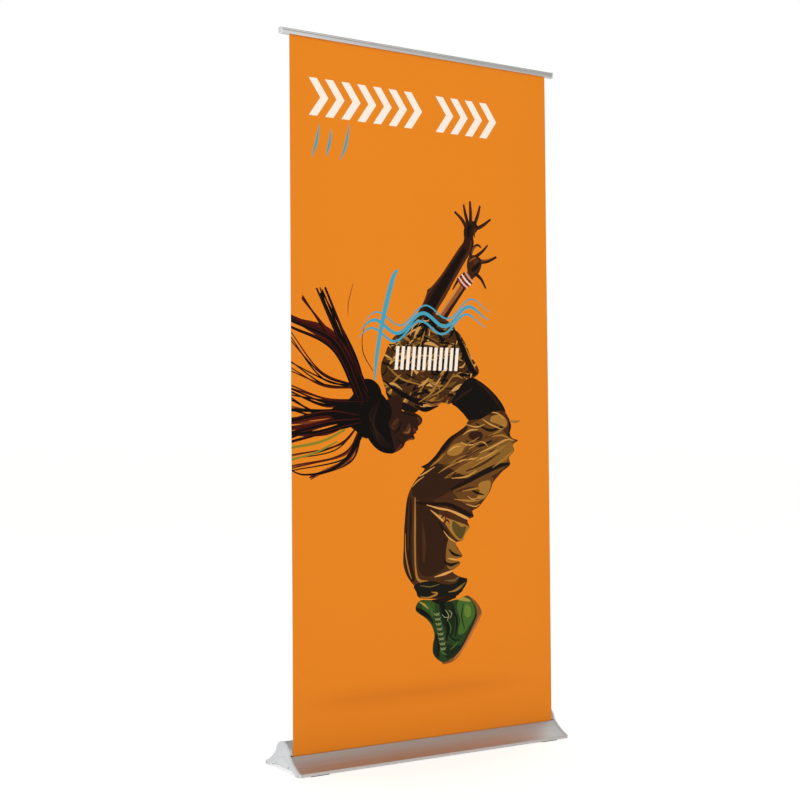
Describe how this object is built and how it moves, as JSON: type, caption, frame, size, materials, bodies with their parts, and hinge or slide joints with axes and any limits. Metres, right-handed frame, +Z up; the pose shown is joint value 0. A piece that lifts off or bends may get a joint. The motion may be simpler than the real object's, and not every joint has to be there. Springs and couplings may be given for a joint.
{
  "type": "roll-up banner stand",
  "caption": "Pull-up banner stand: two-sided aluminium base with a sprung roller, a tall printed film, a clamp rail on top and a telescopic pole behind it.",
  "frame": {"origin": "on the floor under the middle of the base", "axes": "+X along the base, the printed side of the banner faces -Y, +Z up"},
  "size_m": [0.98, 0.21, 2.1178],
  "materials": {
    "anodised_aluminium": "satin anodised extrusion",
    "bright_tube": "drawn tube, bright",
    "grey_nylon": "moulded, fine texture",
    "black_nylon": "moulded, fine texture",
    "black_rubber": "matt",
    "zinc_steel": "zinc plated",
    "spring_steel": "oiled",
    "printed_film": "printed film, satin",
    "blank_film": "unprinted film, satin"
  },
  "bodies": {
    "base": {"base_housing": "anodised_aluminium", "end_cap_left": "grey_nylon", "end_cap_right": "grey_nylon", "cap_screw_left_1": "zinc_steel", "cap_screw_left_2": "zinc_steel", "cap_screw_left_3": "zinc_steel", "cap_screw_left_4": "zinc_steel", "cap_screw_right_1": "zinc_steel", "cap_screw_right_2": "zinc_steel", "cap_screw_right_3": "zinc_steel", "cap_screw_right_4": "zinc_steel", "foot_pad_front_left": "black_rubber", "foot_pad_front_right": "black_rubber", "foot_pad_rear_left": "black_rubber", "foot_pad_rear_right": "black_rubber", "pole_socket": "black_nylon", "socket_screw_1": "zinc_steel", "socket_screw_2": "zinc_steel", "spring_shaft": "zinc_steel", "spring_anchor": "black_nylon", "idler_pin": "zinc_steel", "leader_strip": "blank_film", "banner_graphic": "printed_film", "pole_lower": "bright_tube", "pole_foot_plug": "black_nylon", "lower_sleeve": "grey_nylon"},
    "roller": {"roller_tube": "anodised_aluminium", "roller_plug_left": "black_nylon", "roller_plug_right": "black_nylon", "bush_left": "grey_nylon", "bush_right": "grey_nylon", "wound_leader": "blank_film", "torsion_spring": "spring_steel"},
    "lower_lock": {"lower_collar": "black_nylon"},
    "middle_stage": {"pole_middle": "bright_tube", "middle_glide": "black_nylon", "middle_sleeve": "grey_nylon"},
    "middle_lock": {"middle_collar": "black_nylon"},
    "top_rail": {"rail_body": "anodised_aluminium", "grip_strip": "black_rubber", "rail_cap_left": "grey_nylon", "rail_cap_right": "grey_nylon", "rail_hanger": "black_nylon", "hanger_screw_1": "zinc_steel", "hanger_screw_2": "zinc_steel", "pole_upper": "bright_tube", "upper_glide": "black_nylon", "pole_head": "black_nylon"},
    "jaw": {"rail_jaw": "anodised_aluminium"}
  },
  "joints": [
    {"name": "rail_height", "type": "slide", "parent": "base", "child": "top_rail", "axis": [0, -0.0228, 0.9997], "range_m": [-1.22, 0], "deforming": ["banner_graphic"]},
    {"name": "middle_stage_slide", "type": "slide", "parent": "base", "child": "middle_stage", "axis": [0, -0.0228, 0.9997], "range_m": [-0.61, 0]},
    {"name": "roller_spin", "type": "hinge", "parent": "base", "child": "roller", "pos_m": [0, 0, 0.045], "axis": [1, 0, 0], "range_deg": [0, 3080]},
    {"name": "lower_lock_turn", "type": "hinge", "parent": "base", "child": "lower_lock", "pos_m": [0, 0.03915, 0.75841], "axis": [0, -0.0228, 0.9997], "range_deg": [0, 90]},
    {"name": "middle_lock_turn", "type": "hinge", "parent": "middle_stage", "child": "middle_lock", "pos_m": [0, 0.02402, 1.42224], "axis": [0, -0.0228, 0.9997], "range_deg": [0, 90]},
    {"name": "jaw_swing", "type": "hinge", "parent": "top_rail", "child": "jaw", "pos_m": [0, -0.01323, 2.11363], "axis": [-1, 0, 0], "range_deg": [0, 35]}
  ],
  "couplings": [
    {"joint": "middle_stage_slide", "follows": "rail_height", "ratio": 0.5},
    {"joint": "roller_spin", "follows": "rail_height", "rad_per_m": -44}
  ]
}
